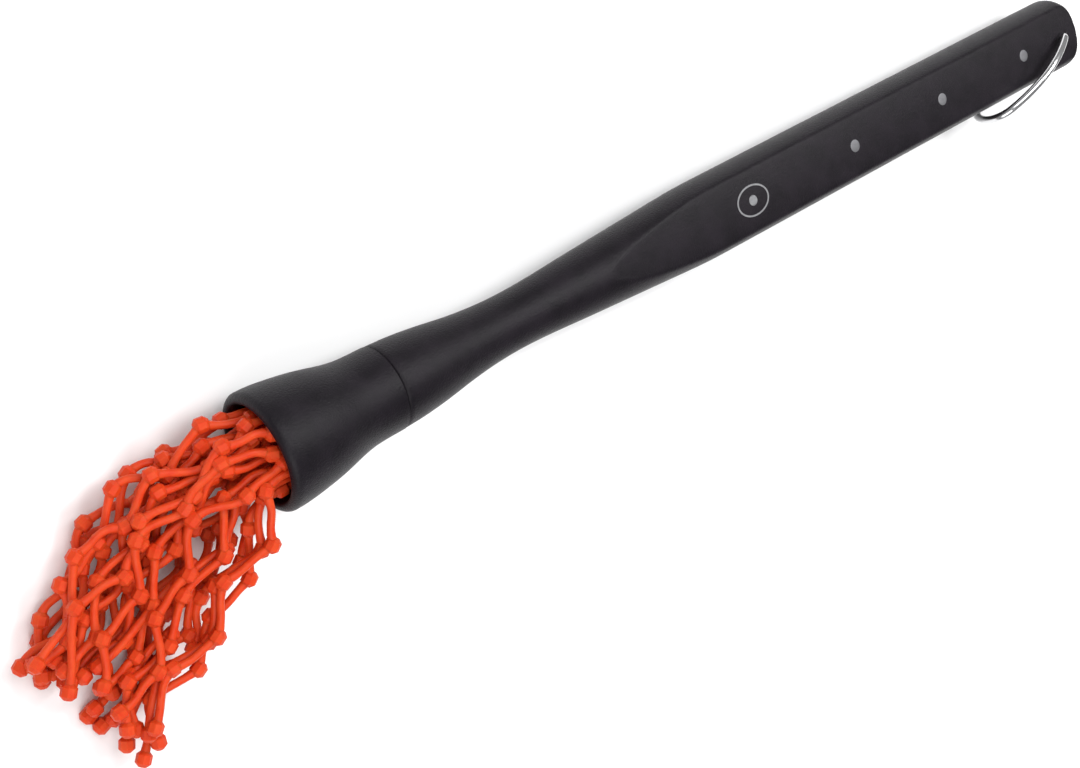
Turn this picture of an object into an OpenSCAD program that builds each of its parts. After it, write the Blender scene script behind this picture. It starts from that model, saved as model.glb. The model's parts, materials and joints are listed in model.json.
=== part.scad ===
// Basting mop for a grill: a round-necked grip, a flared screw collar, a head of
// moulded silicone strands and a wire hanging loop. It lies on its flat side.
// The handle's own frame has X along the axis, 0 at the collar's seam and positive
// toward the tail, and Z square to the grip's flats.

/* [Handle] */
// Length from the collar's seam to the tail
handle_len = 338.5; // [280:0.5:410]
// Radius of the grip's round sides
grip_r = 14; // [12:0.1:17]
// Radius where the handle meets the collar
seam_r = 14; // [13:0.25:15]
// Radius of the neck's waist
waist_r = 9.6; // [9:0.1:11]
// Distance from the seam to the waist
waist_x = 51; // [45:1:60]
// Distance from the seam to where the grip is full size
shoulder_x = 140; // [125:1:170]
// Half the thickness across the two flats
flat_half = 9.8; // [9:0.1:11.5]
// Crown radius of the flats
crown_r = 80; // [50:1:120]
// Where the flats begin to run out toward the neck
flat_x = 144; // [130:1:170]
// Radius of the run-out arc
runout_r = 1000; // [800:20:1400]
// Edge radius at the tail
tail_edge_r = 5; // [2:0.5:7]
// Wall of the two shells
shell_wall = 2.6; // [2:0.1:3]

/* [Rivets and badge] */
// Rivet radius
rivet_r = 2.3; // [1.5:0.1:2.6]
// Distance from the loop's cross hole to the rear rivet
rivet_from_loop = 23; // [18:1:30]
// Spacing of the rivets
rivet_pitch = 48.9; // [35:0.1:55]
// Distance from the front rivet to the badge's centre
badge_from_rivet = 52.9; // [40:0.1:58]
// Badge length along the handle
badge_len = 15; // [10:0.5:18]
// Badge width
badge_w = 11; // [6:0.5:12]

/* [Hanging loop] */
// Wire radius
wire_r = 1.5; // [1.25:0.05:1.75]
// Distance from the tail to the cross hole
loop_from_tail = 9.8; // [9:0.1:16]
// Length from the hinge to the middle of the bow
loop_len = 44.7; // [42:0.1:58]
// Half the loop's width where its sides bow out most
loop_half_w = 15.6; // [15:0.1:18]
// Radius of the loop's sides
loop_side_r = 42.5; // [36:0.5:50]
// Bend radius of the wire at the hinge
loop_bend_r = 2.7; // [2.4:0.1:3.5]
// Angle that the loop lies away from the handle's axis
loop_lie = 25; // [22:0.5:40]

/* [Collar] */
// Length of the collar
collar_len = 46.5; // [42:0.5:56]
// Outer radius of the mouth
mouth_r = 19.65; // [18:0.05:24]
// Wall at the mouth
mouth_wall = 3.5; // [3:0.1:4]
// Radius of the collar at the seam
collar_seam_r = 14.15; // [14:0.05:15]

/* [Thread] */
// Root radius of the spigot's thread
thread_root_r = 9.5; // [9:0.1:9.8]
// Height of a thread ridge
thread_h = 1; // [0.8:0.05:1.1]
// Lead of the thread
thread_lead = 8; // [6:0.5:10]
// Number of thread starts
thread_starts = 2; // [1:1:2]
// Length of the spigot in front of the seam
spigot_len = 12.5; // [11:0.5:14]

/* [Mop head] */
// Distance between neighbouring strands, and between layers
strand_pitch = 4.7; // [4.2:0.05:4.9]
// Strand radius
strand_r = 1.25; // [1:0.05:1.3]
// Length of a strand from its comb's face
strand_len = 107; // [90:1:140]
// Angle that the strands turn through outside the collar
strand_turn = 40; // [0:1:60]
// Extra turn of the strands at the lower edge, which parts them from the rest
parting = 5; // [0:1:12]
// Angle that the lower edge's strands hang out past the rest near the collar
edge_hook = 24; // [0:1:30]
// Radius of the beads on a strand
bead_r = 2.45; // [2:0.05:2.6]
// Distance between beads
bead_pitch = 14.5; // [9:0.5:18]
// Sideways swing of a strand between beads
strand_wave = 3.1; // [0:0.1:3.6]
// Height between the layers where the strands lie in a heap
heap_pitch = 3; // [2.8:0.1:4]
// Radius of the pins through the combs
pin_r = 1; // [0.8:0.1:1.3]

/* [Hidden] */
$fn = 64;

fit = 0.02;            // radial gap round a fixed pin
run_fit = 0.05;        // radial gap round the loop's wire ends
turn_gap = 0.35;       // gap between the collar and what turns or slides in it
face_gap = 0.1;        // gap between flat faces that meet
seam_gap = 0.3;        // gap that the seal ring keeps between collar and shells
overlap = 0.5;         // how far a cutter runs past a face

black = [0.13, 0.125, 0.135];
orange = [0.93, 0.33, 0.14];
steel = [0.75, 0.76, 0.78];
grey = [0.62, 0.63, 0.65];
nylon = [0.85, 0.84, 0.8];

// Places along the handle
loop_x = handle_len - loop_from_tail;
rivet_rear_x = loop_x - rivet_from_loop;
rivet_middle_x = rivet_rear_x - rivet_pitch;
rivet_front_x = rivet_middle_x - rivet_pitch;
badge_x = rivet_front_x - badge_from_rivet;
// The loop's outline: a bend over the flat, a bowed side and a round end, each
// tangent to the next. Centres are [out from the hinge, up from the mid-plane]
bend_c = [loop_bend_r, flat_half + 0.5];
side_c = [loop_bend_r + sqrt(pow(loop_side_r - loop_bend_r, 2)
    - pow(bend_c[1] - loop_half_w + loop_side_r, 2)), loop_half_w - loop_side_r];
end_off = loop_side_r - loop_len;
end_c = [(side_c[0] * side_c[0] + side_c[1] * side_c[1] - end_off * end_off) / 2 / (end_off + side_c[0]), 0];
end_r = loop_len - end_c[0];
side_from = atan2(bend_c[1] - side_c[1], bend_c[0] - side_c[0]);
side_to = atan2(end_c[1] - side_c[1], end_c[0] - side_c[0]);
bush_r = wire_r + 1.1;
boss_r = rivet_r + 2.2;
rivet_proud = 0.03;
badge_line = 0.6;
print_t = 0.08;
crown_drop = 6;        // depth of the cutter that shapes a flat, at its edges
runout_angle = asin(70 / runout_r);
hollow_to = loop_x - bush_r - 4;

// The spigot's hold in the shells
stem_r = 7.6;
stem_len = 16;
flange_r = 9.6;
flange_from = 7;
flange_w = 3;
hollow_from = stem_len + 3;
spigot_bore_r = 5.5;
spigot_floor = 2;      // what is left between the spigot's bore and its stem

// The collar's inside, as distances from the seam toward the mouth
thread_crest_r = thread_root_r + thread_h;
collar_bore_r = thread_crest_r + turn_gap;
web_front = spigot_len + 6;
web_back = spigot_len + 3;
web_hole_r = 7.4;
mouth_in_r = mouth_r - mouth_wall;
cup_back_r = seam_r - 0.6;
cone_back = web_front + 2.5;
cone_front = collar_len - 12.5;
holder_front = cone_front + 0.6;
slot_depth = 9;
slot_h = strand_pitch - 1;
bar_h = slot_h - 0.2;
bar_gap = turn_gap + 0.15;
pin_x = holder_front - slot_depth / 2;
pin_y = 1.5 * strand_pitch - face_gap;
// The pins end inside the holder's cone
pin_room = cup_back_r - turn_gap
    + (mouth_in_r - cup_back_r) * (pin_x - pin_r - cone_back) / (cone_front - cone_back);
pin_reach = sqrt(pow(pin_room, 2) - pow(pin_y + pin_r, 2)) - face_gap;
seal_r = 0.9;
seal_groove_r = collar_bore_r + 1.3;
screw_r = 1.5;
screw_head_r = 3;
screw_head_h = 2.2;
screw_reach = 4.5;     // how far the screw goes into the holder
ridge_turns = 0.85;
ridge_from = -spigot_len + thread_lead / thread_starts / 4 + 0.6;

// The strands: how many in each comb, from the lowest layer up
strand_counts = [4, 5, 6, 6, 5, 4];
layers = len(strand_counts);
bend_from = collar_len - holder_front - 2.5;
bend_first = 74;
bend_last = 22;
inner_taper = 24;
outer_taper = 10;
edge_return = 9;
heap_from = 68;

// The mop lies on the collar's rim and the loop's lower leg
rim_x = -(collar_len - 3.5);
leg_x = loop_x - side_c[0] * cos(loop_lie);
tilt = atan((mouth_r - loop_half_w - wire_r) / (leg_x - rim_x));
function floor_z(x) = -mouth_r + (x - rim_x) * tan(tilt);

function mix(a, b, t) = a + (b - a) * t;
function ramp(t) = let (u = min(1, max(0, t))) u * u * (3 - 2 * u);
function fract(v) = v - floor(v);
function vary(a, b) = 2 * fract(43.7 * (1 + sin(a * 129.3 + b * 78.2))) - 1;

// A smooth curve through stations of [place, radius, slope]
function hermite(p, q, t) = let (h = q[0] - p[0])
    [mix(p[0], q[0], t), (2 * t * t * t - 3 * t * t + 1) * p[1] + (t * t * t - 2 * t * t + t) * h * p[2]
        + (3 * t * t - 2 * t * t * t) * q[1] + (t * t * t - t * t) * h * q[2]];
function curve(stations, steps) = [for (i = [0 : len(stations) - 2], k = [0 : steps - 1])
    hermite(stations[i], stations[i + 1], k / steps)];
function arc(cx, cy, r, from, to, steps) = [for (k = [0 : steps])
    let (a = mix(from, to, k / steps)) [cx + r * cos(a), cy + r * sin(a)]];

swell = grip_r - waist_r;
handle_stations = [[0, seam_r, -0.01], [0.47 * waist_x, mix(seam_r, waist_r, 0.5), -0.155],
    [waist_x, waist_r, 0], [mix(waist_x, shoulder_x, 0.37), waist_r + 0.368 * swell, 0.056],
    [mix(waist_x, shoulder_x, 0.685), waist_r + 0.727 * swell, 0.057], [shoulder_x, grip_r, 0]];
flare = mouth_r - collar_seam_r;
collar_stations = [[0, collar_seam_r, 0.01], [0.215 * collar_len, collar_seam_r + 0.04 * flare, 0.06],
    [0.45 * collar_len, collar_seam_r + 0.41 * flare, 0.25],
    [0.645 * collar_len, collar_seam_r + 0.745 * flare, 0.15], [collar_len - 3.5, mouth_r, 0.02]];

// Strand centre lines
function row_z(layer) = (layer - (layers - 1) / 2) * strand_pitch;
function row_y(layer, i) = ((strand_counts[layer] - 1) / 2 - i) * strand_pitch;
function strand_length(layer, i) = let (across = i / (strand_counts[layer] - 1))
    strand_len - (across > 0.6 ? outer_taper : inner_taper) * across + 3 * vary(i + 1, layer + 1);
function heading(layer, i, s) = let (across = i / (strand_counts[layer] - 1))
    (strand_turn + (across > 0.6 ? parting : 0) + 2.5 * vary(layer + 3, 7))
    * ramp((s - bend_from) / mix(bend_first, bend_last, across)) + hook(across, s - bend_from);
function hook(across, s) = max(0, across - 0.6) / 0.4
    * (edge_hook * ramp(s / 12) - (edge_hook + edge_return) * ramp((s - 12) / 16));
function strand_z(layer, x, s) =
    mix(row_z(layer), floor_z(x) + bead_r + 0.1 + layer * heap_pitch, ramp((s - bend_from) / heap_from));
function swing(layer, i, s) = strand_wave * ramp((s - bend_from) / 25)
    * asin(0.92 * sin(180 * s / bead_pitch + 100 * layer + 25 * i)) / asin(0.92);
function strand_line(layer, i, step) = let (n = ceil(strand_length(layer, i) / step))
    [for (k = 0, x = -holder_front + 2, y = row_y(layer, i); k <= n;
        x = x - step * cos(heading(layer, i, k * step)),
        y = y - step * sin(heading(layer, i, k * step)), k = k + 1)
        let (a = heading(layer, i, k * step), w = swing(layer, i, k * step))
        [x + w * sin(a), y - w * cos(a), strand_z(layer, x, k * step)]];

strand_step = bead_pitch / 3;
strand_tips = [for (layer = [0 : layers - 1], i = [0 : strand_counts[layer] - 1])
    let (line = strand_line(layer, i, strand_step)) line[len(line) - 1]];
mid_x = (handle_len + min([for (p = strand_tips) p[0]])) / 2;
mid_y = (mouth_r + min([for (p = strand_tips) p[1]]) - strand_r) / 2;

// From the handle's own frame to the mop as it lies, over its footprint's centre
module laid() {
    translate([-mid_x * cos(tilt), -mid_y, mouth_r * cos(tilt) + rim_x * sin(tilt)])
        rotate([0, tilt, 0]) children();
}

// Turns a shape drawn about Z to lie about X
module along_x() {
    rotate([0, 90, 0]) children();
}

// A solid of revolution about X from [place, radius] points
module turned(points) {
    along_x() rotate_extrude() polygon([for (p = points) [p[1], p[0]]]);
}

module ring_x(x0, x1, r_out, r_in) {
    translate([x0, 0, 0]) along_x() difference() {
        cylinder(r = r_out, h = x1 - x0);
        translate([0, 0, -overlap]) cylinder(r = r_in, h = x1 - x0 + 2 * overlap);
    }
}

// A swept tube with six sides along a line
function frame_side(d) = let (s = cross(d, [0, 0, 1])) s / norm(s);
function tube_points(line, r, sides) = let (n = len(line)) [for (k = [0 : n - 1])
    let (d = line[min(k + 1, n - 1)] - line[max(k - 1, 0)], u = frame_side(d / norm(d)),
        v = cross(u, d / norm(d)))
    for (a = [0 : sides - 1]) line[k] + r * (cos(360 * a / sides) * u + sin(360 * a / sides) * v)];
function tube_faces(n, sides) = concat(
    [[for (a = [0 : sides - 1]) sides - 1 - a]],
    [for (k = [0 : n - 2], a = [0 : sides - 1])
        let (b = (a + 1) % sides) [k * sides + a, k * sides + b, (k + 1) * sides + b, (k + 1) * sides + a]],
    [[for (a = [0 : sides - 1]) (n - 1) * sides + a]]);
module tube(line, r, sides) {
    polyhedron(tube_points(line, r, sides), tube_faces(len(line), sides));
}

// One helical ridge about Z, right-handed, its foot at foot_r and its tip at tip_r
module helix_ridge(foot_r, tip_r, from_z) {
    steps = ceil(24 * ridge_turns);
    foot_w = thread_lead / thread_starts / 2;
    section = [[foot_r, -foot_w / 2], [tip_r, -foot_w / 4], [tip_r, foot_w / 4], [foot_r, foot_w / 2]];
    points = [for (k = [0 : steps]) let (a = 360 * ridge_turns * k / steps)
        for (p = section) [p[0] * cos(a), p[0] * sin(a), from_z + p[1] + thread_lead * a / 360]];
    polyhedron(points, foot_r < tip_r ? tube_faces(steps + 1, 4)
        : [for (f = tube_faces(steps + 1, 4)) [for (i = [1 : len(f)]) f[len(f) - i]]]);
}

// The handle's outside
module crown_profile() {
    difference() {
        translate([-1.5 * grip_r, -crown_drop]) square([3 * grip_r, crown_drop + grip_r]);
        translate([0, -crown_r]) circle(crown_r, $fn = 180);
    }
}

module flat_cut() {
    translate([flat_x, 0, flat_half]) rotate([90, 0, 90])
        linear_extrude(handle_len - flat_x + overlap) crown_profile();
    translate([flat_x, 0, flat_half + runout_r]) rotate([-90, 90, 0])
        rotate_extrude(angle = runout_angle, $fn = 180) translate([runout_r, 0]) rotate(90) crown_profile();
}

module handle_outside() {
    difference() {
        turned(concat([[0, 0]], curve(handle_stations, 8),
            [[shoulder_x, grip_r]],
            arc(handle_len - tail_edge_r, grip_r - tail_edge_r, tail_edge_r, 90, 0, 8),
            [[handle_len, 0]]));
        flat_cut();
        mirror([0, 0, 1]) flat_cut();
    }
}

// The hollow between the shells, with its rivet bosses left standing
module handle_hollow() {
    difference() {
        intersection() {
            turned(concat([[hollow_from, 0]],
                [for (p = curve(handle_stations, 3)) if (p[0] > hollow_from) [p[0], p[1] - shell_wall]],
                [[shoulder_x, grip_r - shell_wall], [hollow_to, grip_r - shell_wall], [hollow_to, 0]]));
            translate([0, -grip_r, -(flat_half - shell_wall)])
                cube([handle_len, 2 * grip_r, 2 * (flat_half - shell_wall)]);
        }
        for (x = [rivet_front_x, rivet_middle_x, rivet_rear_x])
            translate([x, 0, -grip_r]) cylinder(r = boss_r, h = 2 * grip_r);
    }
}

module handle_shell() {
    difference() {
        intersection() {
            handle_outside();
            translate([-overlap, -2 * grip_r, 0]) cube([handle_len + 2, 4 * grip_r, 2 * grip_r]);
        }
        handle_hollow();
        for (x = [rivet_front_x, rivet_middle_x, rivet_rear_x])
            translate([x, 0, -overlap]) cylinder(r = rivet_r + fit, h = grip_r + 1);
        translate([loop_x, 0, -overlap]) cylinder(r = bush_r + fit, h = grip_r + 1);
        translate([-overlap, 0, 0]) along_x() cylinder(r = stem_r + fit, h = stem_len + overlap + face_gap);
        translate([flange_from - face_gap, 0, 0]) along_x()
            cylinder(r = flange_r + fit, h = flange_w + 2 * face_gap);
    }
}

module handle_shell_upper() {
    color(black) laid() handle_shell();
}

module handle_shell_lower() {
    color(black) laid() mirror([0, 0, 1]) handle_shell();
}

module rivet(x) {
    color(grey) laid() translate([x, 0, -flat_half - rivet_proud])
        cylinder(r = rivet_r, h = 2 * (flat_half + rivet_proud));
}

module loop_bush() {
    color(nylon) laid() translate([loop_x, 0, -flat_half + face_gap]) difference() {
        cylinder(r = bush_r, h = 2 * (flat_half - face_gap));
        translate([0, 0, -overlap]) cylinder(r = wire_r + run_fit, h = 2 * flat_half + 2 * overlap);
    }
}

// A length of wire bent round a centre in the loop's plane
module wire_arc(centre, r, from, to) {
    translate([centre[0], 0, centre[1]]) rotate([90, 0, 0])
        rotate_extrude(angle = to - from, start = from) translate([r, 0]) circle(wire_r);
}

// A ball over the joint of two lengths, a hair larger than the wire
module wire_joint(centre, r, angle) {
    translate([centre[0] + r * cos(angle), 0, centre[1] + r * sin(angle)]) sphere(wire_r + 0.03);
}

// One side of the wire: an end in the bush, the bend over the flat and the side
module loop_side() {
    translate([0, 0, 1.5]) cylinder(r = wire_r, h = bend_c[1] - 1.5);
    wire_joint(bend_c, loop_bend_r, 180);
    wire_arc(bend_c, loop_bend_r, side_from, 180);
    wire_joint(side_c, loop_side_r, side_from);
    wire_arc(side_c, loop_side_r, side_to, side_from);
    wire_joint(end_c, end_r, side_to);
}

module hanging_loop() {
    color(steel) laid() translate([loop_x, 0, 0]) rotate([0, 0, 180 + loop_lie]) {
        loop_side();
        mirror([0, 0, 1]) loop_side();
        wire_arc(end_c, end_r, -side_to, side_to);
    }
}

// A plain oval ring with a drop in it, printed on the upper flat
module badge_print() {
    color(grey) laid() intersection() {
        translate([badge_x, 0, flat_half - 1]) linear_extrude(2) {
            difference() {
                scale([badge_len / 2, badge_w / 2]) circle(1);
                scale([badge_len / 2 - badge_line, badge_w / 2 - badge_line]) circle(1);
            }
            circle(badge_w / 6);
        }
        translate([badge_x - badge_len, 0, flat_half - crown_r]) along_x() difference() {
            cylinder(r = crown_r + print_t, h = 2 * badge_len);
            translate([0, 0, -overlap]) cylinder(r = crown_r, h = 2 * badge_len + 1);
        }
    }
}

// The spigot: a stem held in the shells and a threaded nose in front of the seam
module threaded_spigot() {
    color(nylon) laid() difference() {
        union() {
            translate([-spigot_len, 0, 0]) along_x() cylinder(r = thread_root_r, h = spigot_len - fit);
            along_x() translate([0, 0, -overlap]) cylinder(r = stem_r, h = stem_len + overlap);
            translate([flange_from, 0, 0]) along_x() cylinder(r = flange_r, h = flange_w);
            for (k = [0 : thread_starts - 1]) rotate([360 * k / thread_starts, 0, 0]) along_x()
                helix_ridge(thread_root_r - 0.4, thread_crest_r, ridge_from);
        }
        translate([-spigot_len - overlap, 0, 0]) along_x()
            cylinder(r = spigot_bore_r, h = spigot_len + overlap - spigot_floor);
    }
}

module seal_ring() {
    color(black) laid() translate([-seal_r - seam_gap, 0, 0]) along_x()
        rotate_extrude() translate([thread_root_r + seal_r + fit, 0]) circle(seal_r);
}

// The collar: a flared bell with a screw socket behind its inner web
module collar() {
    lip_out = 2.4;
    lip_in = 1;
    seal_seat = 2 * seal_r + 1;
    color(black) laid() union() {
        turned([for (p = concat(
            curve(collar_stations, 10),
            arc(collar_len - lip_out, mouth_r - lip_out, lip_out, 90, 0, 6),
            arc(collar_len - lip_in, mouth_in_r + lip_in, lip_in, 0, -90, 4),
            [[cone_front, mouth_in_r], [cone_back, cup_back_r], [web_front, cup_back_r],
                [web_front, web_hole_r], [web_back, web_hole_r], [web_back, collar_bore_r],
                [seal_seat, collar_bore_r], [seal_seat, seal_groove_r],
                [seam_gap, seal_groove_r], [seam_gap, collar_seam_r]]))
            if (p[0] >= seam_gap) [-p[0], p[1]]]);
        for (k = [0 : thread_starts - 1]) rotate([360 * k / thread_starts, 0, 0]) along_x()
            helix_ridge(collar_bore_r + 0.4, thread_root_r + turn_gap,
                ridge_from - thread_lead / thread_starts / 2);
    }
}

// The rack that the combs slot into, with a stem through the collar's web
module holder_blank(gap) {
    turned([[-holder_front, 0], [-holder_front, mouth_in_r - gap], [-cone_front, mouth_in_r - gap],
        [-cone_back, cup_back_r - gap], [-web_front - face_gap, cup_back_r - gap],
        [-web_front - face_gap, 0]]);
}

module comb_holder() {
    color(nylon) laid() difference() {
        union() {
            holder_blank(turn_gap);
            translate([-web_front - 1, 0, 0]) along_x()
                cylinder(r = web_hole_r - turn_gap, h = web_front - web_back + 1 + face_gap);
        }
        for (layer = [0 : layers - 1])
            translate([-holder_front - overlap, -mouth_r, row_z(layer) - slot_h / 2])
                cube([slot_depth + overlap, 2 * mouth_r, slot_h]);
        comb_pin_holes();
        translate([-web_front - screw_reach - overlap, 0, 0]) along_x() cylinder(r = screw_r + 0.1, h = 20);
    }
}

module comb_pin_holes() {
    for (side = [-1, 1]) translate([-pin_x, side * pin_y, -mouth_r])
        cylinder(r = pin_r + fit, h = 2 * mouth_r);
}

module comb_pin(side) {
    color(steel) laid() translate([-pin_x, side * pin_y, -pin_reach]) cylinder(r = pin_r, h = 2 * pin_reach);
}

module holder_washer() {
    color(steel) laid() ring_x(-web_back + face_gap, -spigot_len - face_gap, collar_bore_r - 1.6, screw_r + 0.1);
}

module holder_screw() {
    color(steel) laid() {
        translate([-spigot_len - face_gap, 0, 0]) along_x() cylinder(r = screw_head_r, h = screw_head_h);
        translate([-web_front - screw_reach, 0, 0]) along_x()
            cylinder(r = screw_r, h = web_front + screw_reach - spigot_len);
    }
}

// A comb: a bar with a row of strands moulded on its front
module mop_comb(layer) {
    color(orange) laid() {
        difference() {
            intersection() {
                holder_blank(bar_gap);
                translate([-holder_front - 1, -mouth_r, row_z(layer) - bar_h / 2])
                    cube([slot_depth + 1 - face_gap, 2 * mouth_r, bar_h]);
            }
            comb_pin_holes();
        }
        for (i = [0 : strand_counts[layer] - 1]) tube(strand_line(layer, i, strand_step), strand_r, 6);
    }
}

handle_shell_upper();
handle_shell_lower();
rivet(rivet_front_x);  // rivet_front
rivet(rivet_middle_x);  // rivet_middle
rivet(rivet_rear_x);  // rivet_rear
loop_bush();
hanging_loop();
badge_print();
threaded_spigot();
seal_ring();
collar();
comb_holder();
holder_washer();
holder_screw();
comb_pin(-1);  // comb_pin_left
comb_pin(1);  // comb_pin_right
mop_comb(0);  // mop_comb_1
mop_comb(1);  // mop_comb_2
mop_comb(2);  // mop_comb_3
mop_comb(3);  // mop_comb_4
mop_comb(4);  // mop_comb_5
mop_comb(5);  // mop_comb_6
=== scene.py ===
"""A basting mop for a grill, finished as it is sold.

The grip is satin black plastic in two shells with flats above and below, three
rivets and a small printed badge. A flared collar screws onto its neck and holds
six combs of moulded silicone strands, and a polished wire loop hangs from its tail.
"""

import json
import math

import bmesh
import bpy
import numpy as np
from mathutils import Matrix, Vector


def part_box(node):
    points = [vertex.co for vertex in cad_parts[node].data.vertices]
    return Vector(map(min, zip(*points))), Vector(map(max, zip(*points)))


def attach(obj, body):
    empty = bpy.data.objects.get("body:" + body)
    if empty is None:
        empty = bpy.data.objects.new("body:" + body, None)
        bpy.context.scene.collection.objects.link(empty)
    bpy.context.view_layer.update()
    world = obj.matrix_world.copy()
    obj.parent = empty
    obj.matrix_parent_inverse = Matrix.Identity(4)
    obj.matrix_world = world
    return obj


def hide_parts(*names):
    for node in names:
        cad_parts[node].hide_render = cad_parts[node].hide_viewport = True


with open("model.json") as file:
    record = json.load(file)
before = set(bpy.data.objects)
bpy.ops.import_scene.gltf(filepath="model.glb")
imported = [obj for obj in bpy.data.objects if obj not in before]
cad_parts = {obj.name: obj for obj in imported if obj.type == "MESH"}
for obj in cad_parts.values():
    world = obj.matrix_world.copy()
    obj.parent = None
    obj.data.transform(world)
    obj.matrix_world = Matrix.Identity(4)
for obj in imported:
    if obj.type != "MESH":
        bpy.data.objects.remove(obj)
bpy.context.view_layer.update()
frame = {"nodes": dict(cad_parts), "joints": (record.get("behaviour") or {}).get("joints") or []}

JOINTS = {joint["name"]: joint for joint in frame["joints"]}
MM = 0.001


# ---------------------------------------------------------------- the handle's own frame

def handle_place():
    """X along the handle toward the tail from the collar's seam, Z square to the flats."""
    tailward = -Vector(JOINTS["collar_turn"]["axis"]).normalized()
    sideways = Vector((0, 1, 0))
    upward = tailward.cross(sideways)
    turn = Matrix((tailward, sideways, upward)).transposed().to_4x4()
    return Matrix.Translation(JOINTS["collar_turn"]["pos_m"]) @ turn


HANDLE_PLACE = handle_place()
LAID = HANDLE_PLACE @ Matrix.Scale(MM, 4)


def laid(x, y, z):
    """A point given in millimetres in the handle's frame, where the mop lies."""
    return LAID @ Vector((x, y, z))


# ---------------------------------------------------------------- the camera

# In the handle's frame, the place in millimetres.
CAMERA_PLACE = Vector((-260.8, 140.02, 502.28))
CAMERA_RIGHT = Vector((0.74942, -0.32611, 0.57622))
CAMERA_UP = Vector((0.41954, 0.90716, -0.03223))


def make_camera():
    camera = bpy.data.objects.new("camera", bpy.data.cameras.new("camera"))
    bpy.context.scene.collection.objects.link(camera)
    camera.data.sensor_width = 36
    camera.data.lens = 63.1
    camera.data.clip_start = 0.01
    camera.data.clip_end = 60
    turn = Matrix((CAMERA_RIGHT, CAMERA_UP, CAMERA_RIGHT.cross(CAMERA_UP))).transposed().to_4x4()
    camera.matrix_world = HANDLE_PLACE @ Matrix.Translation(CAMERA_PLACE * MM) @ turn
    bpy.context.scene.camera = camera


make_camera()


# ---------------------------------------------------------------- sizes, in millimetres

HANDLE_LEN = 338.5
SEAM_R = 14
GRIP_R = 14
WAIST_R = 9.6
WAIST_X = 51
SHOULDER_X = 140
TAIL_EDGE_R = 5
FLAT_HALF = 9.8
CROWN_R = 80
FLAT_X = 144
RUNOUT_R = 1000
FLAT_EDGE = 0.9
SEAM_EASE = 0.4

RIVET_R = 2.3
RIVET_CROWN = 0.04
RIVET_EASE = 0.08

LOOP_LEN = 44.7
LOOP_HALF_W = 15.6
LOOP_SIDE_R = 42.5
LOOP_BEND_R = 2.7
LOOP_RISE = 0.5
LOOP_END = 1.5
LOOP_LIE = math.radians(25)
WIRE_R = 1.5

COLLAR_LEN = 46.5
MOUTH_R = 19.65
LIP_LEN = 3.5
HOLDER_FRONT = 34.6
COMB_DEPTH = 8.9
COMB_THICK = 3.5
COMB_RIM_R = 15.6

STRAND_COUNTS = (4, 5, 6, 6, 5, 4)
STRAND_PITCH = 4.7
STRAND_R = 1.25
STRAND_LEN = 107
STRAND_TURN = 40
PARTING = 5
EDGE_HOOK = 24
EDGE_RETURN = 9
BEND_FROM = 9.4
BEND_FIRST = 74
BEND_LAST = 22
HEAP_FROM = 68
HEAP_PITCH = 3
LYING_GAP = 0.1
INNER_TAPER = 24
OUTER_TAPER = 10
STRAND_WAVE = 3.1
STRAND_ROOT = 2
BEAD_R = 2.45
BEAD_LEN = 4.8
BEAD_PITCH = 14.5
BEAD_CHAMFER = 1.1

LOOP_X = (HANDLE_PLACE.inverted() @ Vector(JOINTS["loop_swing"]["pos_m"])).x / MM
RIM_X = LIP_LEN - COLLAR_LEN


# ---------------------------------------------------------------- materials

def node(tree, kind, **settings):
    made = tree.nodes.new(kind)
    for name, value in settings.items():
        setattr(made, name, value)
    return made


def link(tree, source, target):
    tree.links.new(source, target)


def moulded_surface():
    """Two patterns that moulded and rolled surfaces share: fine grain, and a broad uneven sheen."""
    group = bpy.data.node_groups.new("moulded surface", "ShaderNodeTree")
    group.interface.new_socket(name="Grain Size", in_out="INPUT", socket_type="NodeSocketFloat")
    group.interface.new_socket(name="Mottle Size", in_out="INPUT", socket_type="NodeSocketFloat")
    group.interface.new_socket(name="Grain", in_out="OUTPUT", socket_type="NodeSocketFloat")
    group.interface.new_socket(name="Mottle", in_out="OUTPUT", socket_type="NodeSocketFloat")
    ends = node(group, "NodeGroupInput"), node(group, "NodeGroupOutput")
    place = node(group, "ShaderNodeTexCoord")
    for size, result, detail in (("Grain Size", "Grain", 3), ("Mottle Size", "Mottle", 4)):
        per_metre = node(group, "ShaderNodeMath", operation="DIVIDE")
        per_metre.inputs[0].default_value = 1 / MM
        noise = node(group, "ShaderNodeTexNoise")
        noise.inputs["Detail"].default_value = detail
        noise.inputs["Roughness"].default_value = 0.6
        link(group, ends[0].outputs[size], per_metre.inputs[1])
        link(group, place.outputs["Object"], noise.inputs["Vector"])
        link(group, per_metre.outputs[0], noise.inputs["Scale"])
        link(group, noise.outputs["Fac"], ends[1].inputs[result])
    return group


SURFACE = moulded_surface()
GLOW_REACH = (1.0, 0.12, 0.04)
RELIEF = 0.8
MOTTLE_RANGE = (0.35, 0.65)


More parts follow.
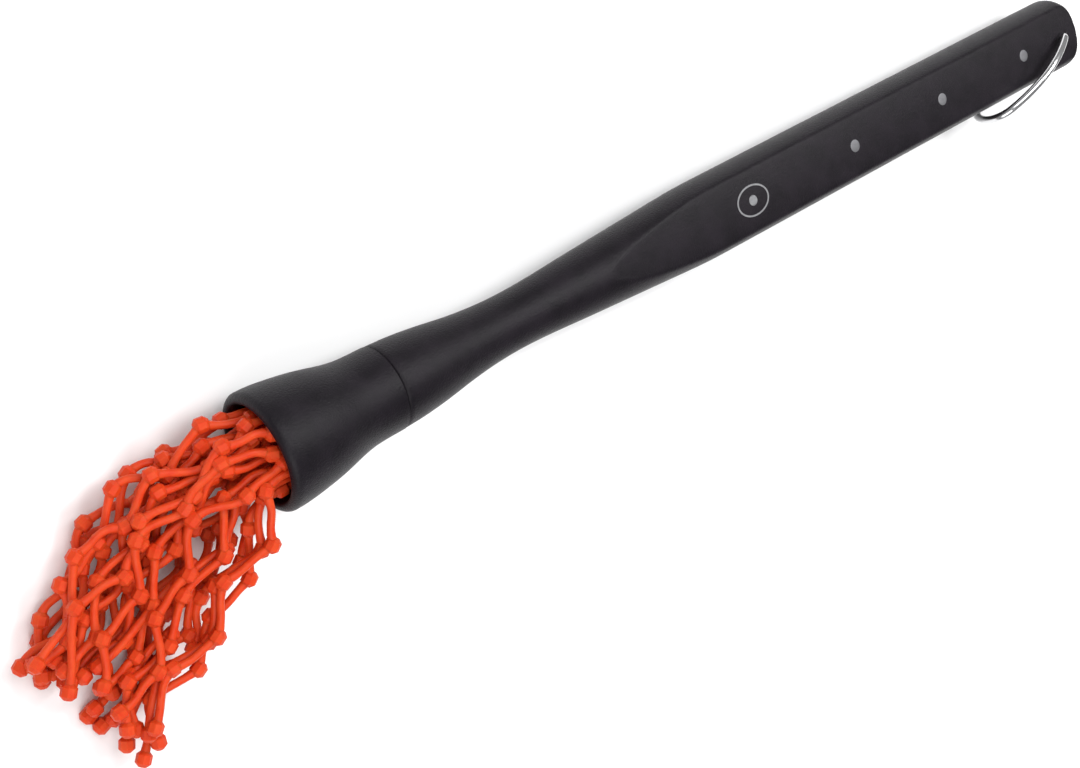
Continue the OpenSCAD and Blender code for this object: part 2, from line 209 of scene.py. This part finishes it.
def finish_material(name, dark, light, rough, grain_size, mottle_size, grain_height,
                    metallic=0.0, glow=0.0, specular=0.5):
    """A solid finish whose colour and roughness drift with the mottle, with a fine grain in relief."""
    material = bpy.data.materials.new(name)
    material.use_nodes = True
    tree = material.node_tree
    shader = tree.nodes["Principled BSDF"]
    shader.inputs["Metallic"].default_value = metallic
    shader.inputs["Subsurface Weight"].default_value = glow
    shader.inputs["Subsurface Radius"].default_value = GLOW_REACH
    shader.inputs["Subsurface Scale"].default_value = STRAND_R * MM
    shader.inputs["Specular IOR Level"].default_value = specular
    surface = node(tree, "ShaderNodeGroup", node_tree=SURFACE)
    surface.inputs["Grain Size"].default_value = grain_size
    surface.inputs["Mottle Size"].default_value = mottle_size
    colour = node(tree, "ShaderNodeMix", data_type="RGBA")
    colour.inputs["A"].default_value = (*dark, 1)
    colour.inputs["B"].default_value = (*light, 1)
    spread = node(tree, "ShaderNodeMapRange")
    spread.inputs["From Min"].default_value = MOTTLE_RANGE[0]
    spread.inputs["From Max"].default_value = MOTTLE_RANGE[1]
    gloss = node(tree, "ShaderNodeMapRange")
    gloss.inputs["To Min"].default_value = rough[0]
    gloss.inputs["To Max"].default_value = rough[1]
    relief = node(tree, "ShaderNodeBump")
    relief.inputs["Strength"].default_value = RELIEF
    relief.inputs["Distance"].default_value = grain_height * MM
    link(tree, surface.outputs["Mottle"], spread.inputs["Value"])
    link(tree, spread.outputs["Result"], colour.inputs["Factor"])
    link(tree, colour.outputs["Result"], shader.inputs["Base Color"])
    link(tree, surface.outputs["Mottle"], gloss.inputs["Value"])
    link(tree, gloss.outputs["Result"], shader.inputs["Roughness"])
    link(tree, surface.outputs["Grain"], relief.inputs["Height"])
    link(tree, relief.outputs["Normal"], shader.inputs["Normal"])
    return material


MATERIALS = {
    "handle_plastic": finish_material(
        "satin black plastic", (0.0040, 0.0026, 0.0048), (0.0086, 0.0060, 0.0096),
        (0.36, 0.52), 0.6, 9, 0.24, specular=0.18),
    "silicone": finish_material(
        "orange silicone", (0.56, 0.036, 0.004), (0.61, 0.058, 0.009),
        (0.45, 0.62), 0.3, 5, 0.012, glow=0.35, specular=0.25),
    "wire_steel": finish_material(
        "polished wire", (0.60, 0.60, 0.61), (0.68, 0.68, 0.69),
        (0.12, 0.2), 0.4, 20, 0.003, metallic=1.0),
    "rivet": finish_material(
        "satin rivet", (0.17, 0.17, 0.18), (0.21, 0.21, 0.22),
        (0.5, 0.65), 0.25, 1.5, 0.01, metallic=1.0),
    "nylon": finish_material(
        "black nylon", (0.018, 0.018, 0.02), (0.03, 0.03, 0.032),
        (0.5, 0.7), 0.3, 6, 0.015),
    "print": finish_material(
        "grey print", (0.165, 0.165, 0.174), (0.215, 0.215, 0.224),
        (0.5, 0.65), 0.2, 1.2, 0.01),
    "seal_rubber": finish_material(
        "seal rubber", (0.012, 0.012, 0.012), (0.02, 0.02, 0.02),
        (0.65, 0.85), 0.25, 3, 0.02),
}
FLOOR_FINISH = finish_material(
    "pale floor", (0.86, 0.86, 0.865), (0.89, 0.89, 0.89), (0.75, 0.85), 4, 220, 0.0, specular=0.2)


# ---------------------------------------------------------------- making pieces

def finished(shape, name, slot, body, replaced, sharp=38):
    """A piece from a shape made in place: smooth but for sharp edges, with its finish, on its body.

    It takes the place of the CAD node that it replaces.
    """
    mesh = bpy.data.meshes.new(name)
    shape.to_mesh(mesh)
    shape.free()
    mesh.shade_smooth()
    mesh.set_sharp_from_angle(angle=math.radians(sharp))
    mesh.materials.append(MATERIALS[slot])
    piece = bpy.data.objects.new(name, mesh)
    bpy.context.scene.collection.objects.link(piece)
    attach(piece, body)
    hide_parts(replaced)


def finished_copy(part, name, slot, body):
    """A CAD node's own shape, its triangles joined so that its round faces shade smoothly."""
    shape = bmesh.new()
    shape.from_mesh(frame["nodes"][part].data)
    bmesh.ops.remove_doubles(shape, verts=shape.verts, dist=0.002 * MM)
    bmesh.ops.dissolve_degenerate(shape, dist=0.001 * MM, edges=shape.edges)
    finished(shape, name, slot, body, part)


# ---------------------------------------------------------------- curves and rows

def mix(a, b, t):
    return a + (b - a) * t


def ramp(t):
    u = min(1, max(0, t))
    return u * u * (3 - 2 * u)


def vary(a, b):
    """A repeatable number from -1 to 1 for a pair of whole numbers."""
    v = 43.7 * (1 + math.sin(math.radians(a * 129.3 + b * 78.2)))
    return 2 * (v - math.floor(v)) - 1


def station_radius(stations, x):
    """The radius at x on a smooth curve through stations of (place, radius, slope)."""
    for (x0, r0, m0), (x1, r1, m1) in zip(stations, stations[1:]):
        if x <= x1:
            h = x1 - x0
            t = (x - x0) / h
            return ((2 * t ** 3 - 3 * t ** 2 + 1) * r0 + (t ** 3 - 2 * t ** 2 + t) * h * m0
                    + (3 * t ** 2 - 2 * t ** 3) * r1 + (t ** 3 - t ** 2) * h * m1)
    return stations[-1][1]


SWELL = GRIP_R - WAIST_R
HANDLE_STATIONS = (
    (0, SEAM_R, -0.01),
    (0.47 * WAIST_X, mix(SEAM_R, WAIST_R, 0.5), -0.155),
    (WAIST_X, WAIST_R, 0),
    (mix(WAIST_X, SHOULDER_X, 0.37), WAIST_R + 0.368 * SWELL, 0.056),
    (mix(WAIST_X, SHOULDER_X, 0.685), WAIST_R + 0.727 * SWELL, 0.057),
    (SHOULDER_X, GRIP_R, 0),
)


# ---------------------------------------------------------------- the handle

def handle_radius(x):
    past = x - (HANDLE_LEN - TAIL_EDGE_R)
    if past > 0:
        return GRIP_R - TAIL_EDGE_R + math.sqrt(max(0, TAIL_EDGE_R ** 2 - past ** 2))
    return station_radius(HANDLE_STATIONS, x) - max(0, SEAM_EASE - x)


def crown_height(x, y):
    """How high the flat lies at x and y, with its run-out toward the neck."""
    sag = CROWN_R - math.sqrt(CROWN_R ** 2 - y * y)
    if x >= FLAT_X:
        return FLAT_HALF - sag
    reach = (RUNOUT_R + sag) ** 2 - (FLAT_X - x) ** 2
    return FLAT_HALF + RUNOUT_R - math.sqrt(max(0, reach))


def corner_angle(x, r):
    """The angle, from the side, at which the round side meets the flat."""
    low, high = 0.0, math.radians(84)
    if r * math.sin(high) < crown_height(x, r * math.cos(high)):
        return high
    for _ in range(40):
        middle = (low + high) / 2
        if r * math.sin(middle) < crown_height(x, r * math.cos(middle)):
            low = middle
        else:
            high = middle
    return low


SIDE_STEPS = 12
EDGE_STEPS = 4
CROWN_STEPS = 7


def quarter_section(x):
    """Points (y, z) from the side of the handle up over the flat's softened edge to its middle."""
    r = handle_radius(x)
    corner = corner_angle(x, r)
    corner_y, corner_z = r * math.cos(corner), r * math.sin(corner)
    edge = min(FLAT_EDGE, 0.45 * corner_y)
    side_top = corner - edge / r
    points = [(r * math.cos(side_top * k / SIDE_STEPS), r * math.sin(side_top * k / SIDE_STEPS))
              for k in range(SIDE_STEPS)]

    def top(y):
        return y, min(math.sqrt(max(0, r * r - y * y)), crown_height(x, y))

    a = (r * math.cos(side_top), r * math.sin(side_top))
    b = top(corner_y - edge)
    for k in range(EDGE_STEPS):
        t = k / EDGE_STEPS
        points.append(tuple((1 - t) ** 2 * p + 2 * t * (1 - t) * c + t * t * q
                            for p, c, q in zip(a, (corner_y, corner_z), b)))
    for k in range(CROWN_STEPS + 1):
        points.append(top((corner_y - edge) * (1 - k / CROWN_STEPS)))
    return points


NECK_STEP = 2
GRIP_STEP = 6


def handle_places():
    """Places along the handle, closer together where its shape changes."""
    neck_steps = int(SHOULDER_X / NECK_STEP) + 4
    places = [0, SEAM_EASE] + [k * NECK_STEP for k in range(1, neck_steps)]
    arc_from = HANDLE_LEN - TAIL_EDGE_R
    while places[-1] < arc_from - GRIP_STEP - 1:
        places.append(places[-1] + GRIP_STEP)
    places += [arc_from + TAIL_EDGE_R * math.sin(math.radians(a)) for a in range(0, 91, 10)]
    return places


def handle_shell(side):
    """One shell: a sheet wrapped over the half section all along, closed below and at both ends."""
    places = handle_places()
    half = []
    for x in places:
        quarter = quarter_section(x)
        half.append(quarter + [(-y, z) for y, z in reversed(quarter[:-1])])
    rows, columns = len(places), len(half[0])
    shell = bmesh.new()
    bmesh.ops.create_grid(shell, x_segments=rows - 1, y_segments=columns - 1, size=1)
    for v in shell.verts:
        i = round((v.co.x + 1) / 2 * (rows - 1))
        j = round((v.co.y + 1) / 2 * (columns - 1))
        y, z = half[i][j]
        v.co = (places[i], y, side * z)
    level = [e for e in shell.edges if e.is_boundary and all(abs(v.co.z) < 1e-6 for v in e.verts)]
    bmesh.ops.bridge_loops(shell, edges=level)
    bmesh.ops.holes_fill(shell, edges=[e for e in shell.edges if e.is_boundary], sides=0)
    bmesh.ops.recalc_face_normals(shell, faces=shell.faces)
    shell.transform(LAID)
    return shell


for half_name, side in (("upper", 1), ("lower", -1)):
    finished(handle_shell(side), "grip_" + half_name + "_shell", "handle_plastic", "handle",
             "handle_shell_" + half_name, sharp=50)


# ---------------------------------------------------------------- rivets, bush and badge

def turned(profile, steps):
    """Spins (radius, height) points round Z. The first and last points are on the axis."""
    shape = bmesh.new()
    ring = [shape.verts.new((r, 0, z)) for r, z in profile]
    for a, b in zip(ring, ring[1:]):
        shape.edges.new((a, b))
    bmesh.ops.spin(shape, geom=shape.verts[:] + shape.edges[:], axis=(0, 0, 1), cent=(0, 0, 0),
                   angle=math.tau, steps=steps, use_merge=True)
    bmesh.ops.remove_doubles(shape, verts=shape.verts, dist=1e-5)
    bmesh.ops.recalc_face_normals(shape, faces=shape.faces)
    return shape


def rivet(node_name):
    """A rivet through both shells, with a nearly flat head on each side."""
    low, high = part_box(node_name)
    centre = HANDLE_PLACE.inverted() @ ((low + high) / 2)
    top = FLAT_HALF
    crown = top + RIVET_CROWN
    head = [(0, crown), (RIVET_R - 4 * RIVET_EASE, crown), (RIVET_R - RIVET_EASE, top),
            (RIVET_R, top - 2 * RIVET_EASE)]
    profile = head + [(r, -z) for r, z in reversed(head)]
    shape = turned(profile, 40)
    shape.transform(LAID @ Matrix.Translation((centre.x / MM, 0, 0)))
    return shape


for place in ("front", "middle", "rear"):
    finished(rivet("rivet_" + place), place + "_rivet", "rivet", "handle", "rivet_" + place)

for part, slot_name in (("loop_bush", "nylon"), ("badge_print", "print"), ("threaded_spigot", "nylon"),
                        ("seal_ring", "seal_rubber")):
    finished_copy(part, part + "_finished", slot_name, "handle")


# ---------------------------------------------------------------- collar and what it holds

finished_copy("collar", "collar_bell", "handle_plastic", "collar")
for part, slot_name in (("comb_holder", "nylon"), ("holder_washer", "wire_steel"),
                        ("holder_screw", "wire_steel"), ("comb_pin_left", "wire_steel"),
                        ("comb_pin_right", "wire_steel")):
    finished_copy(part, part + "_finished", slot_name, "head")


# ---------------------------------------------------------------- the hanging loop

def loop_outline():
    """The wire's path in the loop's plane, as (out from the hinge, up).

    It runs from the wire's end in the bush to the middle of the bow.
    """
    bend = Vector((LOOP_BEND_R, FLAT_HALF + LOOP_RISE))
    side_y = LOOP_HALF_W - LOOP_SIDE_R
    side_x = LOOP_BEND_R + math.sqrt((LOOP_SIDE_R - LOOP_BEND_R) ** 2 - (bend.y - side_y) ** 2)
    side = Vector((side_x, side_y))
    past = LOOP_SIDE_R - LOOP_LEN
    bow = Vector(((side.x ** 2 + side.y ** 2 - past ** 2) / 2 / (past + side.x), 0))
    side_from = math.atan2(bend.y - side.y, bend.x - side.x)
    side_to = math.atan2(bow.y - side.y, bow.x - side.x)
    path = [Vector((0, LOOP_END)), Vector((0, 4 * LOOP_END))]
    for centre, r, start, end, steps in (
            (bend, LOOP_BEND_R, math.pi, side_from, 12),
            (side, LOOP_SIDE_R, side_from, side_to, 36),
            (bow, LOOP_LEN - bow.x, side_to, 0, 16)):
        for k in range(steps + 1):
            a = mix(start, end, k / steps)
            point = centre + r * Vector((math.cos(a), math.sin(a)))
            if (point - path[-1]).length > WIRE_R / 30:
                path.append(point)
    return path


def wire_loop():
    half = loop_outline()
    path = half + [Vector((p.x, -p.y)) for p in reversed(half[:-1])]
    data = bpy.data.curves.new("loop wire", "CURVE")
    data.dimensions = "3D"
    data.bevel_depth = WIRE_R * MM
    data.bevel_resolution = 8
    data.use_fill_caps = True
    line = data.splines.new("POLY")
    line.points.add(len(path) - 1)
    for point, p in zip(line.points, path):
        place = laid(LOOP_X - p.x * math.cos(LOOP_LIE), -p.x * math.sin(LOOP_LIE), p.y)
        point.co = (*place, 1)
    wire = bpy.data.objects.new("loop_wire", data)
    bpy.context.scene.collection.objects.link(wire)
    data.materials.append(MATERIALS["wire_steel"])
    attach(wire, "hang_loop")
    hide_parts("hanging_loop")


wire_loop()


# ---------------------------------------------------------------- the strands

LAYERS = len(STRAND_COUNTS)
LEG_SIDE_X = LOOP_BEND_R + math.sqrt(
    (LOOP_SIDE_R - LOOP_BEND_R) ** 2 - (FLAT_HALF + LOOP_RISE - LOOP_HALF_W + LOOP_SIDE_R) ** 2)
LEG_X = LOOP_X - LEG_SIDE_X * math.cos(LOOP_LIE)
TILT_SLOPE = (MOUTH_R - LOOP_HALF_W - WIRE_R) / (LEG_X - RIM_X)


def ground(x):
    """The height, in the handle's frame, of what the mop lies on."""
    return -MOUTH_R + (x - RIM_X) * TILT_SLOPE


def row_height(layer):
    return (layer - (LAYERS - 1) / 2) * STRAND_PITCH


PARTS_FROM = 0.6
HOOK_LEN = 12
RETURN_LEN = 16
LENGTH_SCATTER = 3
TURN_SCATTER = 2.5


def strand_length(layer, i):
    across = i / (STRAND_COUNTS[layer] - 1)
    taper = OUTER_TAPER if across > PARTS_FROM else INNER_TAPER
    return STRAND_LEN - taper * across + LENGTH_SCATTER * vary(i + 1, layer + 1)


def hook(across, s):
    """The strands past the parting first turn away from the rest, then back past their own course."""
    turn = EDGE_HOOK * ramp(s / HOOK_LEN) - (EDGE_HOOK + EDGE_RETURN) * ramp((s - HOOK_LEN) / RETURN_LEN)
    return max(0, across - PARTS_FROM) / (1 - PARTS_FROM) * turn


def heading(layer, i, s):
    """The angle, in degrees, that a strand has turned through at s along it, with its own slow wander."""
    across = i / (STRAND_COUNTS[layer] - 1)
    past = s - BEND_FROM
    full = STRAND_TURN + (PARTING if across > PARTS_FROM else 0) + TURN_SCATTER * vary(layer + 3, 7)
    turned_by = full * ramp(past / mix(BEND_FIRST, BEND_LAST, across)) + hook(across, past)
    own = 360 * s / WANDER_LEN + 180 * vary(3 * i + 2, 5 * layer + 1)
    return turned_by + WANDER * math.sin(math.radians(own)) * ramp(past / WANDER_FROM)


POINTS_PER_BEAD = 6
POINT_STEP = BEAD_PITCH / POINTS_PER_BEAD
WANDER = 8
WANDER_LEN = 80
WANDER_FROM = 20
BOW = 1.2
SWERVE = 0.9
# Shares of STRAND_WAVE that a corner at a bead reaches.
CORNER = 1.15
CORNER_SCATTER = 0.45
CORNERS_FROM = 16


def bead_points(layer, i, count):
    """The numbers of the points on a strand that hold a bead; the last is its tip."""
    first = (2 * layer + i + round(2 * vary(i + 5, layer + 2))) % POINTS_PER_BEAD
    rows = range(first, count - 4, POINTS_PER_BEAD)
    return [k for k in rows if k * POINT_STEP > BEND_FROM] + [count - 1]


def swings(layer, i, count, beads):
    """How far each point of a strand swings aside: corners at the beads, bowed between them."""
    sign = 1 if (layer + i // 2) % 2 else -1
    corners = [0] + beads
    reach = [0] + [sign * (-1) ** n * STRAND_WAVE * (CORNER + CORNER_SCATTER * vary(n + 2 * i, layer + n))
                   * ramp((k * POINT_STEP - BEND_FROM) / CORNERS_FROM) for n, k in enumerate(beads)]
    aside = [0.0] * count
    for n, (a, b) in enumerate(zip(corners, corners[1:])):
        for k in range(a, b + 1):
            t = (k - a) / max(1, b - a)
            bow = BOW * vary(n + 4 * layer, i + 9) * math.sin(math.pi * t)
            swerve = SWERVE * vary(n + i, 7 * layer + 3) * math.sin(math.tau * t)
            aside[k] = mix(reach[n], reach[n + 1], t) + (bow + swerve if n else 0)
    return aside


def strand_line(layer, i):
    """A strand's centre line in the handle's frame, and which of its points hold beads."""
    x = STRAND_ROOT - HOLDER_FRONT
    y = ((STRAND_COUNTS[layer] - 1) / 2 - i) * STRAND_PITCH
    count = round(strand_length(layer, i) / POINT_STEP) + 1
    beads = bead_points(layer, i, count)
    line = []
    for k, w in enumerate(swings(layer, i, count, beads)):
        s = k * POINT_STEP
        a = math.radians(heading(layer, i, s))
        lying = ground(x) + BEAD_R + LYING_GAP + layer * HEAP_PITCH
        z = mix(row_height(layer), lying, ramp((s - BEND_FROM) / HEAP_FROM))
        line.append((x + w * math.sin(a), y - w * math.cos(a), z))
        x -= POINT_STEP * math.cos(a)
        y -= POINT_STEP * math.sin(a)
    return line, beads


SETTLE_STEPS = 70
PUSH = 0.3
SPRING_BACK = 0.08
SOFTNESS = 0.85
SETTLES_FROM = 12
KIN_POINTS = 5


def settled(strands):
    """Eases the strands apart where they cross too close, and down onto what they lie on."""
    start = np.array([p for line, _ in strands for p in line])
    owner = np.array([n for n, (line, _) in enumerate(strands) for _ in line])
    place = np.array([k for line, _ in strands for k in range(len(line))])
    radius = np.array([BEAD_R if k in beads else STRAND_R
                       for line, beads in strands for k in range(len(line))])
    free = np.array([ramp((k * POINT_STEP - BEND_FROM) / SETTLES_FROM) for k in place])[:, None]
    reach = SOFTNESS * (radius[:, None] + radius[None, :])
    near_kin = (owner[:, None] == owner[None, :]) & (abs(place[:, None] - place[None, :]) < KIN_POINTS)
    inner = (owner[1:-1] == owner[:-2]) & (owner[1:-1] == owner[2:])
    floor_z = np.array([ground(x) for x in start[:, 0]]) + radius
    now = start.copy()
    for _ in range(SETTLE_STEPS):
        apart = now[:, None, :] - now[None, :, :]
        distance = np.sqrt((apart ** 2).sum(2)) + 1e-6
        overlap = np.where(near_kin, 0, np.maximum(0, reach - distance))
        push = (apart * (overlap / distance)[:, :, None]).sum(1) * PUSH
        moved = now + (push - SPRING_BACK * (now - start)) * free - start
        smooth = moved.copy()
        beside = (moved[:-2][inner] + moved[2:][inner]) / 2
        smooth[1:-1][inner] = (moved[1:-1][inner] + beside) / 2
        now = start + smooth * free
        now[:, 2] = np.maximum(now[:, 2], floor_z)
    return [[Vector(p) for p in now[owner == n]] for n in range(len(strands))]


def bead_shape():
    """One bead: a short octagonal prism along X with wide chamfers."""
    bead = bmesh.new()
    bmesh.ops.create_cone(bead, cap_ends=True, segments=8, radius1=BEAD_R, radius2=BEAD_R, depth=BEAD_LEN)
    rims = [e for e in bead.edges if abs(e.verts[0].co.z - e.verts[1].co.z) < 1e-6]
    bmesh.ops.bevel(bead, geom=rims, offset=BEAD_CHAMFER, segments=1, profile=0.5,
                    affect="EDGES", material=-1)
    bead.transform(Matrix.Rotation(math.pi / 2, 4, "Y"))
    mesh = bpy.data.meshes.new("bead")
    bead.to_mesh(mesh)
    bead.free()
    return mesh


def along(direction, roll):
    """A turn that takes X to the direction, rolled about it."""
    return direction.to_track_quat("X", "Z").to_matrix().to_4x4() @ Matrix.Rotation(roll, 4, "X")


BEAD = bead_shape()
BEAD_ROLL = 22.5
ROLL_SCATTER = 8
STRAND_FLARE = 0.12
FLARE_LEN = 1.4
SPAN_STEPS = 3


def softened(line):
    """A smooth path through a strand's points, with SPAN_STEPS points to each span."""
    path = []
    for k in range(len(line) - 1):
        before, a, b, after = line[max(k - 1, 0)], line[k], line[k + 1], line[min(k + 2, len(line) - 1)]
        for step in range(SPAN_STEPS):
            t = step / SPAN_STEPS
            path.append(0.5 * (2 * a + (b - before) * t + (2 * before - 5 * a + 4 * b - after) * t ** 2
                               + (3 * a - before - 3 * b + after) * t ** 3))
    return path + [line[-1]]


def strand_tubes(lines, bead_rows):
    """A comb's strands as one mesh of round tubes, each a little thicker where it enters a bead."""
    data = bpy.data.curves.new("strands", "CURVE")
    data.dimensions = "3D"
    data.bevel_depth = STRAND_R
    data.bevel_resolution = 4
    data.use_fill_caps = True
    for line, beads in zip(lines, bead_rows):
        path = softened(line)
        spline = data.splines.new("POLY")
        spline.points.add(len(path) - 1)
        for k, (point, place) in enumerate(zip(spline.points, path)):
            point.co = (*place, 1)
            off = min(abs(k / SPAN_STEPS - bead) for bead in beads) * POINT_STEP - BEAD_LEN / 2
            point.radius = 1 + STRAND_FLARE * (1 - ramp(off / FLARE_LEN))
    tubes = bpy.data.objects.new("strands", data)
    bpy.context.scene.collection.objects.link(tubes)
    bpy.context.view_layer.update()
    mesh = bpy.data.meshes.new_from_object(tubes.evaluated_get(bpy.context.evaluated_depsgraph_get()))
    bpy.data.objects.remove(tubes)
    return mesh


def comb(layer, lines, bead_rows):
    """A comb: its bar in the holder, its strands and their beads."""
    shape = bmesh.new()
    shape.from_mesh(strand_tubes(lines, bead_rows))
    edge = abs(row_height(layer)) + COMB_THICK / 2
    half_w = math.sqrt(COMB_RIM_R ** 2 - edge ** 2)
    bar = bmesh.ops.create_cube(shape, size=1)["verts"]
    bmesh.ops.scale(shape, verts=bar, vec=(COMB_DEPTH, 2 * half_w, COMB_THICK))
    bmesh.ops.translate(shape, verts=bar, vec=(COMB_DEPTH / 2 - HOLDER_FRONT, 0, row_height(layer)))
    for line, beads in zip(lines, bead_rows):
        for k in beads:
            direction = line[min(k + 1, len(line) - 1)] - line[k - 1]
            before = len(shape.verts)
            shape.from_mesh(BEAD)
            shape.verts.ensure_lookup_table()
            roll = math.radians(BEAD_ROLL + ROLL_SCATTER * vary(k, layer))
            place = Matrix.Translation(line[k]) @ along(direction, roll)
            bmesh.ops.transform(shape, matrix=place, verts=shape.verts[before:])
    shape.transform(LAID)
    return shape


STRANDS = [(layer, *strand_line(layer, i))
           for layer in range(LAYERS) for i in range(STRAND_COUNTS[layer])]
SETTLED = settled([(line, beads) for _, line, beads in STRANDS])
for layer in range(LAYERS):
    name = "mop_comb_" + str(layer + 1)
    lines = [line for line, strand in zip(SETTLED, STRANDS) if strand[0] == layer]
    bead_rows = [strand[2] for strand in STRANDS if strand[0] == layer]
    finished(comb(layer, lines, bead_rows), name + "_strands", "silicone", "head", name, sharp=30)


# ---------------------------------------------------------------- floor and light

def make_floor():
    sheet = bmesh.new()
    bmesh.ops.create_grid(sheet, x_segments=1, y_segments=1, size=4)
    mesh = bpy.data.meshes.new("floor")
    sheet.to_mesh(mesh)
    sheet.free()
    mesh.materials.append(FLOOR_FINISH)
    floor = bpy.data.objects.new("floor", mesh)
    bpy.context.scene.collection.objects.link(floor)


def soft_light(name, place, size, watts):
    """A square soft box that faces the mop's middle."""
    data = bpy.data.lights.new(name, "AREA")
    data.shape = "SQUARE"
    data.size = size
    data.energy = watts
    light = bpy.data.objects.new(name, data)
    bpy.context.scene.collection.objects.link(light)
    light.location = place
    light.rotation_mode = "QUATERNION"
    light.rotation_quaternion = (Vector((0, 0, 0)) - Vector(place)).to_track_quat("-Z", "Y")


make_floor()

# Places and sizes in metres.
soft_light("key", (0.75, 0.3, 1.15), 0.45, 12)
soft_light("fill", (-1.3, -0.9, 1.5), 1.6, 30)
soft_light("top", (-0.2, 0.8, 1.9), 1.4, 24)

WORLD_LIGHT = 0.34
world = bpy.data.worlds.new("studio")
world.use_nodes = True
world.node_tree.nodes["Background"].inputs["Color"].default_value = (1, 1, 1, 1)
world.node_tree.nodes["Background"].inputs["Strength"].default_value = WORLD_LIGHT
bpy.context.scene.world = world
bpy.context.scene.view_settings.view_transform = "Standard"
